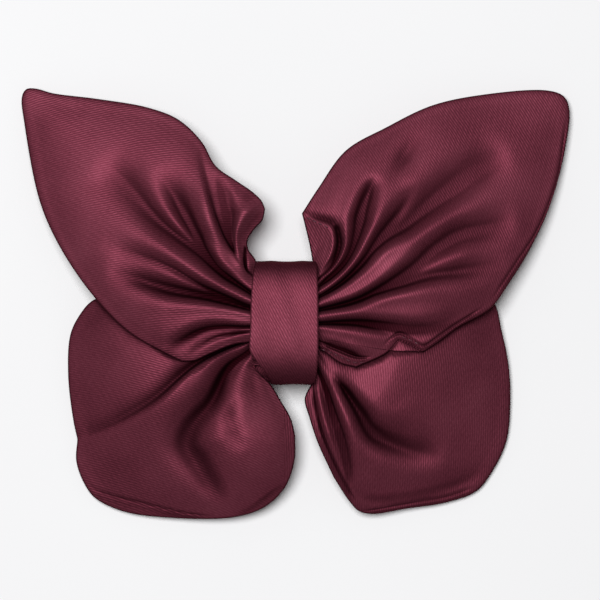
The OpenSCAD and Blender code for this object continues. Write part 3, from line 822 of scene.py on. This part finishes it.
def centre_band():
    angle = np.linspace(0, 360, AROUND, endpoint=False)
    rows = np.array(BAND_SIDES, float)
    rows = np.vstack([rows[-3:] - (360, 0, 0), rows, rows[:3] + (360, 0, 0)])
    left, right = (np.interp(angle, rows[:, 0], rows[:, k]) for k in (1, 2))
    for side in (left, right):
        for _ in range(6):
            side[:] = (np.roll(side, 1) + side * 2 + np.roll(side, -1)) / 4
    c, s = np.cos(np.radians(angle)), np.sin(np.radians(angle))
    bulge = np.where((c < 0) & (s > 0), 0.83, 0.5)     # rounder where it turns under on the face
    loop = np.stack([BAND_HALF[0] * np.sign(c) * np.abs(c) ** bulge,
                     BAND_HALF[1] * np.sign(s) * np.abs(s) ** bulge], 1)
    way = np.roll(loop, -1, 0) - np.roll(loop, 1, 0)
    out = np.stack([way[:, 1], -way[:, 0]], 1)
    out /= np.linalg.norm(out, axis=1)[:, None]
    run = np.cumsum(np.linalg.norm(loop - np.roll(loop, 1, 0), axis=1))
    lap = smooth((LAP_HALF - np.abs(loop[:, 0])) / 0.5) * (s < 0)
    # Round the strip's own section: the outer face, a folded side, the inner face, a folded side.
    u = np.linspace(-1, 1, ACROSS)
    face = np.stack([np.sign(u) * (1 - (1 - np.abs(u)) ** 1.5), np.zeros(ACROSS)], 1)
    turn = np.radians(np.linspace(75, -75, 6))
    verts, uvs = [], []
    for i in range(AROUND):
        mid, half = (left[i] + right[i]) / 2, (right[i] - left[i]) / 2
        flat_half = half - BAND_T / 2
        thick = BAND_T + LAP_T * lap[i]
        x = np.concatenate([face[:, 0] * flat_half, flat_half + BAND_T / 2 * np.cos(turn),
                            face[::-1, 0][::3] * flat_half, -flat_half - BAND_T / 2 * np.cos(turn)])
        h = np.concatenate([np.zeros(ACROSS), (np.sin(turn) - 1) * thick / 2,
                            np.full(len(face[::3]), -thick), (-np.sin(turn) - 1) * thick / 2])
        top = np.concatenate([1 - face[:, 0] ** 2, np.zeros(2 * len(turn) + len(face[::3]))])
        wave = BAND_CREASE * np.sin(0.55 * x + 0.16 * loop[i, 0] + 1.3) * top
        h = h + LAP_T * lap[i] + wave * (0.4 + 0.6 * (s[i] > 0))
        y = loop[i, 0] + out[i, 0] * h
        z = BAND_MID_Z + loop[i, 1] + out[i, 1] * h
        verts.append(np.stack([x + mid, y, z], 1))
        uvs.append(np.stack([x + mid, np.full(len(x), run[i])], 1))
    verts, uvs = np.array(verts), np.array(uvs)
    c, s = math.cos(BAND_RIBS), math.sin(BAND_RIBS)
    weave = np.dstack([c * uvs[..., 1] - s * uvs[..., 0], c * uvs[..., 0] + s * uvs[..., 1]]) * MM
    faces = grid_faces(*verts.shape[:2], wrap_rows=True, wrap_cols=True)
    piece = add_mesh("band_cloth", verts, faces, weave)
    # Painted shade towards the band's top and bottom, where it rounds under.
    paint(piece, "painted_shade", 0.6 * smooth((np.abs(verts[..., 1]) - 8) / 12))
    return cover(piece, satin_mat, "satin_twill", "centre_band")


band = centre_band()
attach(band, BODY)


# ---------------------------------------------------------------- stitches

def tube(line, radius, sides=8):
    """Rings round a line of points, with u round the tube and v along it in metres."""
    line = np.asarray(line, float)
    way = np.gradient(line, axis=0)
    way /= np.linalg.norm(way, axis=1)[:, None]
    radius = np.broadcast_to(radius, len(line))
    normal = np.cross(way[0], (0, 0, 1) if abs(way[0][2]) < 0.8 else (0, 1, 0))
    run = np.concatenate([[0], np.cumsum(np.linalg.norm(np.diff(line, axis=0), axis=1))]) * MM
    turn = 2 * math.pi * np.arange(sides + 1) / sides
    rings, uvs = [], []
    for k, p in enumerate(line):
        normal = normal - way[k] * (normal @ way[k])
        normal /= np.linalg.norm(normal)
        other = np.cross(way[k], normal)
        rings.append(p + radius[k] * (np.cos(turn)[:, None] * normal + np.sin(turn)[:, None] * other))
        uvs.append(np.stack([turn / (2 * math.pi), np.full(sides + 1, run[k])], 1))
    return np.array(rings), np.array(uvs)


def tubes(name, lines, radii, sides=8):
    verts, uvs, faces, count = [], [], [], 0
    for line, radius in zip(lines, radii):
        rings, uv = tube(line, radius, sides)
        verts.append(rings.reshape(-1, 3))
        uvs.append(uv.reshape(-1, 2))
        faces += [[v + count for v in f] for f in grid_faces(*rings.shape[:2])]
        count += len(verts[-1])
    return add_mesh(name, np.vstack(verts), faces, np.vstack(uvs))


STITCH_POINTS = 9
THREAD_R = 0.2


def thread_taper(count):
    """Radii along a stitch, thinner where it goes into the cloth."""
    return THREAD_R * np.sin(np.linspace(0.25, math.pi - 0.25, count)) ** 0.4


def stitch_lines(curve, pitch, share, height_of, rise=0.32, sink=0.3):
    """Short arched stitches along a curve in plan."""
    length = np.linalg.norm(np.diff(curve, axis=0), axis=1).sum()
    count = int(length / pitch)
    arch = np.sin(np.linspace(0, math.pi, STITCH_POINTS)) ** 0.5
    lines = []
    for k in range(count):
        shares = (k + np.linspace(0.5 - share / 2, 0.5 + share / 2, STITCH_POINTS)) / count
        xy = at_share(curve, shares)
        lines.append(np.column_stack([xy, height_of(xy) - sink + (rise + sink) * arch]))
    return lines


def surface(points):
    """A function that gives the height of a grid of points at places in plan."""
    flat = points.reshape(-1, 3)

    def height(xy):
        d2 = ((flat[None, :, :2] - xy[:, None]) ** 2).sum(2)
        near = np.argsort(d2, axis=1)[:, :4]
        return flat[near, 2].mean(1)

    return height


fore_right_top = surface(np.dstack([fore_right.xy, FRONTS["fore"][1]]))
HEMS = [[(7.2, 34.6), (11, 32.7), (14.6, 31)],
        [(11.6, -8.4), (15.7, -9.8), (22.6, -12.8), (26.6, -12.9)],
        [(38.1, -4.4), (41.2, -5.6), (44.4, -7.2)]]
HEM_PITCH = 2.0
HEM_SHARE = 0.72                   # of the pitch that a stitch shows
hem_lines = []
for points in HEMS:
    hem_lines += stitch_lines(spline(points, 200), HEM_PITCH, HEM_SHARE, fore_right_top)
hem = cover(tubes("hem_thread", hem_lines, [thread_taper(STITCH_POINTS)] * len(hem_lines)),
            thread_mat, "sewing_thread", "hem_stitches")
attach(hem, BODY)

LAP_Y = -9.0                       # the lap's sewn edge
LAP_COUNT = 7
LAP_PITCH = 3.0
LAP_STITCH = [(-0.6, -1.7, 0.1), (-0.35, -1.0, -0.2), (0, -0.3, -0.5), (0.35, 0.5, -0.85),
              (0.6, 1.2, -0.55)]
LAP_POINTS = 12
lap_z = BAND_MID_Z - BAND_HALF[1]
lap_lines = []
for k in range(LAP_COUNT):
    x = (k - (LAP_COUNT - 1) / 2) * LAP_PITCH
    lap_lines.append(spline(np.array(LAP_STITCH) + (x, LAP_Y, lap_z), LAP_POINTS))
lap = cover(tubes("lap_thread", lap_lines, [thread_taper(LAP_POINTS)] * LAP_COUNT),
            thread_mat, "sewing_thread", "band_stitches")
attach(lap, BODY)

finish_node("fore_gather_thread", loop_mat)
finish_node("hind_gather_thread", loop_mat)

# ---------------------------------------------------------------- the clip

for node in ("clip_upper_arm", "clip_lower_arm", "clip_pin"):
    finish_node(node, clip_mat)

PIN = (18.0, 7.2)                  # the pin's axis, in X and Z
COIL_R = 1.65
COIL_HALF = 1.4                    # half of the coil's length along the pin
TURN_COUNT = 4.5
LEG_X = 11.0                       # the legs' ends past the pin
WIRE_R = 0.3
q = np.linspace(0, TURN_COUNT, 170)
coil = np.column_stack([PIN[0] - COIL_R * np.sin(2 * math.pi * q),
                        COIL_HALF - 2 * COIL_HALF * q / TURN_COUNT,
                        PIN[1] + COIL_R * np.cos(2 * math.pi * q)])
upper_leg = [(PIN[0] + LEG_X, COIL_HALF, 10.2), (PIN[0] + LEG_X - 4, COIL_HALF, 9.8),
             (PIN[0] + 3, COIL_HALF, 9.2)]
lower_leg = [(PIN[0] + LEG_X - 6.5, -COIL_HALF, 5.5), (PIN[0] + LEG_X - 4.8, -COIL_HALF, 5.35),
             (PIN[0] + LEG_X - 2.6, -COIL_HALF, 4.7), (PIN[0] + LEG_X, -COIL_HALF, 3.4)]
spring = cover(tubes("spring_coil", [np.vstack([upper_leg, coil, lower_leg])], [WIRE_R], 10),
               spring_mat, "spring_wire", "clip_spring")
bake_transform(spring)

# ---------------------------------------------------------------- stage, light and camera

def floor_stone():
    m = Material("floor")
    tone = m.noise(m.object_vector(), 3, 3)
    pale = m.ramp(tone, [(0.3, (0.88, 0.88, 0.89)), (0.7, (0.91, 0.91, 0.92))])
    m.link(pale, m.shader.inputs["Base Color"])
    m.shader.inputs["Roughness"].default_value = 0.7
    m.shader.inputs["Specular IOR Level"].default_value = 0.2
    return m.mat


FLOOR = 2.0                        # half of the floor's side, in metres
floor_mesh = bpy.data.meshes.new("floor")
corners = [(-FLOOR, -FLOOR, 0), (FLOOR, -FLOOR, 0), (FLOOR, FLOOR, 0), (-FLOOR, FLOOR, 0)]
floor_mesh.from_pydata(corners, [], [(0, 1, 2, 3)])
floor = bpy.data.objects.new("floor", floor_mesh)
scene.collection.objects.link(floor)
floor_mesh.materials.append(floor_stone())

VIEW_CENTRE = (0.00147, 0.0010, 0.012)
VIEW_WIDTH = 0.1972                # of the picture, at the height of VIEW_CENTRE
CAMERA_H = 1.3
SENSOR = 36
KEY_PLACE = (-0.24, 0.3, 1.85)
KEY_SIZE = 0.9
KEY_POWER = 34.5
SKY = 0.12                         # strength of the even light from all round
camera_data = bpy.data.cameras.new("camera")
camera_data.sensor_width = SENSOR
camera_data.lens = SENSOR * CAMERA_H / VIEW_WIDTH
camera_data.clip_end = 20
camera = bpy.data.objects.new("camera", camera_data)
camera.location = (VIEW_CENTRE[0], VIEW_CENTRE[1], VIEW_CENTRE[2] + CAMERA_H)
scene.collection.objects.link(camera)
scene.camera = camera


def area_light(name, place, size, power):
    """A round light that looks at the knot."""
    data = bpy.data.lights.new(name, "AREA")
    data.shape = "DISK"
    data.size = size
    data.energy = power
    obj = bpy.data.objects.new(name, data)
    obj.location = place
    obj.rotation_euler = (-Vector(place)).to_track_quat("-Z", "Y").to_euler()
    scene.collection.objects.link(obj)


area_light("key", KEY_PLACE, KEY_SIZE, KEY_POWER)
world = bpy.data.worlds.new("world")
world.use_nodes = True
background = world.node_tree.nodes["Background"]
background.inputs["Color"].default_value = (1, 1, 1, 1)
background.inputs["Strength"].default_value = SKY
scene.world = world
scene.view_settings.view_transform = "Standard"
